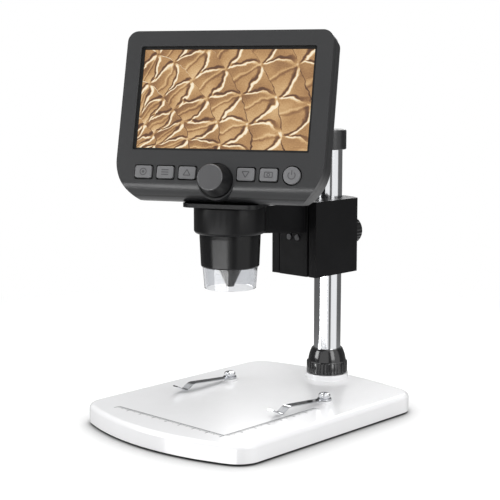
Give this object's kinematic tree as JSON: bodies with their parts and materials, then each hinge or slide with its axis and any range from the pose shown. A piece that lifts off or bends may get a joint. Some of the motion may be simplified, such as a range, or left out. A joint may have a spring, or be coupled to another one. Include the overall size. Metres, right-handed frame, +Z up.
{
  "type": "digital microscope",
  "caption": "Desk microscope with a tilted colour screen over its lens, on an arm that slides on a chrome post above a flat white stage with spring clips.",
  "frame": {"origin": "on the floor under the centre of the whole object's box at rest", "axes": "+Z up along the post, +Y to the back of the base, +X to the right seen from the front"},
  "size_m": [0.1224, 0.172, 0.2138],
  "materials": {
    "white_shell": "glossy white",
    "base_under": "matte",
    "foot_rubber": "matte",
    "steel_plate": "zinc plated",
    "fixing_steel": "zinc plated",
    "post_chrome": "polished",
    "clip_chrome": "polished",
    "cap_plastic": "satin",
    "collar_plastic": "glossy",
    "liner_nylon": "natural nylon",
    "block_black": "black anodised",
    "brass": "turned",
    "knob_black": "satin",
    "head_grey": "satin",
    "head_black": "satin",
    "barrel_black": "satin",
    "button_grey": "satin",
    "wheel_grey": "satin",
    "screen": "lit picture behind glass",
    "gasket_foam": "matte",
    "circuit_board": "solder mask",
    "battery_wrap": "foil wrap",
    "sensor_grey": "glossy",
    "clear_plastic": "clear",
    "lens_glass": "coated",
    "light_white": "diffusing"
  },
  "bodies": {
    "base": {"base_shell": "white_shell", "base_cover": "base_under", "ballast_plate": "steel_plate", "foot_front_left": "foot_rubber", "foot_front_right": "foot_rubber", "foot_rear_left": "foot_rubber", "foot_rear_right": "foot_rubber", "base_screws": "fixing_steel", "post_rod": "post_chrome", "post_bolt": "fixing_steel", "post_cap": "cap_plastic"},
    "collar": {"lock_collar": "collar_plastic"},
    "left_clip": {"left_clip_spring": "clip_chrome", "left_clip_pin": "clip_chrome"},
    "right_clip": {"right_clip_spring": "clip_chrome", "right_clip_pin": "clip_chrome"},
    "liner": {"post_liner": "liner_nylon"},
    "block": {"stage_block": "block_black", "pinion_bush": "brass"},
    "clamp": {"clamp_knob": "knob_black", "clamp_screw": "fixing_steel"},
    "carriage": {"slide_carriage": "block_black", "focus_rack": "fixing_steel", "rack_screws": "fixing_steel", "arm_screws": "fixing_steel", "arm_bracket": "block_black", "ring_liner": "liner_nylon"},
    "pinion": {"pinion_shaft": "fixing_steel", "focus_knob": "knob_black"},
    "head": {"front_bezel": "head_grey", "rear_cover": "head_grey", "head_screws": "fixing_steel", "neck_housing": "head_black", "lcd_panel": "screen", "lcd_gasket": "gasket_foam", "main_board": "circuit_board", "battery": "battery_wrap", "power_socket": "fixing_steel", "card_socket": "fixing_steel", "key_board": "circuit_board", "key_switches": "sensor_grey", "camera_board": "circuit_board", "image_sensor": "sensor_grey", "lens_barrel": "barrel_black", "clear_cover": "clear_plastic", "light_board": "circuit_board", "lights": "light_white", "nose_cone": "head_black", "wheel_bush": "brass"},
    "wheel": {"focus_wheel": "wheel_grey", "wheel_shaft": "fixing_steel"},
    "lens": {"lens_carrier": "barrel_black", "lens_glass": "lens_glass"},
    "button_record": {"button_record": "button_grey"},
    "button_menu": {"button_menu": "button_grey"},
    "button_up": {"button_up": "button_grey"},
    "button_down": {"button_down": "button_grey"},
    "button_capture": {"button_capture": "button_grey"},
    "button_power": {"button_power": "button_grey"}
  },
  "joints": [
    {"name": "collar_turn", "type": "hinge", "parent": "base", "child": "collar", "pos_m": [0, 0.06345, 0.02], "axis": [0, 0, 1], "continuous": true},
    {"name": "left_clip_swing", "type": "hinge", "parent": "base", "child": "left_clip", "pos_m": [-0.0364, 0.01735, 0.012], "axis": [0, 0, 1], "range_deg": [-90, 35]},
    {"name": "right_clip_swing", "type": "hinge", "parent": "base", "child": "right_clip", "pos_m": [0.0364, 0.01735, 0.012], "axis": [0, 0, 1], "range_deg": [-35, 90]},
    {"name": "stage_height", "type": "slide", "parent": "base", "child": "liner", "axis": [0, 0, 1], "range_m": [-0.038, 0.027]},
    {"name": "stage_turn", "type": "hinge", "parent": "liner", "child": "block", "pos_m": [0, 0.06345, 0.09785], "axis": [0, 0, 1], "continuous": true},
    {"name": "clamp_turn", "type": "hinge", "parent": "block", "child": "clamp", "pos_m": [0, 0.07545, 0.09785], "axis": [0, 1, 0], "continuous": true},
    {"name": "coarse_focus", "type": "slide", "parent": "block", "child": "carriage", "axis": [0, 0, 1], "range_m": [-0.0125, 0.0125]},
    {"name": "coarse_knob", "type": "hinge", "parent": "block", "child": "pinion", "pos_m": [0, 0.04765, 0.09785], "axis": [1, 0, 0], "range_deg": [-180, 180]},
    {"name": "head_turn", "type": "hinge", "parent": "carriage", "child": "head", "pos_m": [0, -0.01985, 0.113], "axis": [0, 0, 1], "range_deg": [-85, 35]},
    {"name": "wheel_turn", "type": "hinge", "parent": "head", "child": "wheel", "pos_m": [0.00858, -0.0384, 0.13534], "axis": [0.4048, -0.8749, 0.2659], "range_deg": [-75, 75]},
    {"name": "lens_slide", "type": "slide", "parent": "head", "child": "lens", "axis": [0, 0, 1], "range_m": [-0.00285, 0.00285]},
    {"name": "record_press", "type": "slide", "parent": "head", "child": "button_record", "axis": [-0.4048, 0.8749, -0.2659], "range_m": [0, 0.0006], "stiffness_N_per_m": 800},
    {"name": "menu_press", "type": "slide", "parent": "head", "child": "button_menu", "axis": [-0.4048, 0.8749, -0.2659], "range_m": [0, 0.0006], "stiffness_N_per_m": 800},
    {"name": "up_press", "type": "slide", "parent": "head", "child": "button_up", "axis": [-0.4048, 0.8749, -0.2659], "range_m": [0, 0.0006], "stiffness_N_per_m": 800},
    {"name": "down_press", "type": "slide", "parent": "head", "child": "button_down", "axis": [-0.4048, 0.8749, -0.2659], "range_m": [0, 0.0006], "stiffness_N_per_m": 800},
    {"name": "capture_press", "type": "slide", "parent": "head", "child": "button_capture", "axis": [-0.4048, 0.8749, -0.2659], "range_m": [0, 0.0006], "stiffness_N_per_m": 800},
    {"name": "power_press", "type": "slide", "parent": "head", "child": "button_power", "axis": [-0.4048, 0.8749, -0.2659], "range_m": [0, 0.0006], "stiffness_N_per_m": 800}
  ],
  "couplings": [
    {"joint": "coarse_knob", "follows": "coarse_focus", "rad_per_m": -250},
    {"joint": "wheel_turn", "follows": "lens_slide", "rad_per_m": 459.05}
  ]
}
